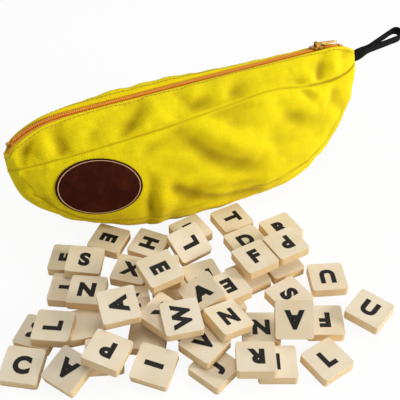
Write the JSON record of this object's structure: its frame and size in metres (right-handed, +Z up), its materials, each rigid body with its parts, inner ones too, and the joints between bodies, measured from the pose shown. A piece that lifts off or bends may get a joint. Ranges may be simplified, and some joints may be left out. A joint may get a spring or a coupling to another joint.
{
  "type": "travel word tile game case",
  "caption": "Zipped canvas pouch for a travel word tile game, with a webbing hand loop, an oval patch and its heap of letter tiles.",
  "frame": {"origin": "on the table under the case's belly, at the middle of its length", "axes": "+X along the zip from the far end to the closed end, where the webbing loop is, +Y away from the side that faces the tiles, +Z up"},
  "size_m": [0.304, 0.189, 0.0802],
  "materials": {
    "canvas": "woven cotton canvas, matt",
    "patch_leather": "smooth, dull",
    "patch_thread": "twisted thread",
    "zip_cloth": "zip tape and moulded coil",
    "brass": "plated, lightly worn",
    "webbing": "flat woven webbing",
    "tile_plastic": "moulded, fine satin"
  },
  "bodies": {
    "case": {"front_upper_panel": "canvas", "front_lower_panel": "canvas", "back_upper_panel": "canvas", "back_lower_panel": "canvas", "patch": "patch_leather", "patch_ring": "patch_thread", "zip_tape_front": "zip_cloth", "zip_tape_back": "zip_cloth", "zip_chain_front": "zip_cloth", "zip_chain_back": "zip_cloth", "zip_top_stops": "brass", "zip_bottom_stop": "brass", "strap_tail": "webbing"},
    "slider": {"zip_slider": "brass"},
    "pull": {"zip_pull": "brass"},
    "strap": {"strap_loop": "webbing"},
    "tiles": {"tile_01_F": "tile_plastic", "tile_02_Y": "tile_plastic", "tile_03_M": "tile_plastic", "tile_04_E": "tile_plastic", "tile_05_H": "tile_plastic", "tile_06_X": "tile_plastic", "tile_07_E": "tile_plastic", "tile_08_T": "tile_plastic", "tile_09_R": "tile_plastic", "tile_10_A": "tile_plastic", "tile_11_L": "tile_plastic", "tile_12_U": "tile_plastic", "tile_13_S": "tile_plastic", "tile_14_N": "tile_plastic", "tile_15_J": "tile_plastic", "tile_16_F": "tile_plastic", "tile_17_U": "tile_plastic", "tile_18_L": "tile_plastic", "tile_19_I": "tile_plastic", "tile_20_N": "tile_plastic", "tile_21_S": "tile_plastic", "tile_22_L": "tile_plastic", "tile_23_D": "tile_plastic", "tile_24_F": "tile_plastic", "tile_25_P": "tile_plastic", "tile_26_E": "tile_plastic", "tile_27_A": "tile_plastic", "tile_28_Z": "tile_plastic", "tile_29_T": "tile_plastic", "tile_30_L": "tile_plastic", "tile_31_A": "tile_plastic", "tile_32_C": "tile_plastic", "tile_33_P": "tile_plastic", "tile_34_I": "tile_plastic", "tile_35_V": "tile_plastic", "tile_36_Y": "tile_plastic", "tile_37_A": "tile_plastic", "tile_38_R": "tile_plastic", "tile_39_N": "tile_plastic", "tile_40_A": "tile_plastic", "tile_41_E": "tile_plastic", "tile_42_W": "tile_plastic", "tiles_underneath": "tile_plastic"}
  },
  "joints": [
    {"name": "zip_slide", "type": "slide", "parent": "case", "child": "slider", "axis": [1, 0, 0], "range_m": [-0.15, 0]},
    {"name": "pull_hinge", "type": "hinge", "parent": "slider", "child": "pull", "pos_m": [0.0895, 0.02852, 0.07837], "axis": [0, -0.9397, 0.342], "range_deg": [0, 168]},
    {"name": "strap_swing", "type": "hinge", "parent": "case", "child": "strap", "pos_m": [0.11693, 0.02377, 0.06531], "axis": [-0.2079, 0.3345, 0.9192], "range_deg": [-60, 60]},
    {"name": "tiles_slide", "type": "slide", "parent": "case", "child": "tiles", "axis": [0, -1, 0], "range_m": [0, 0.1]}
  ]
}
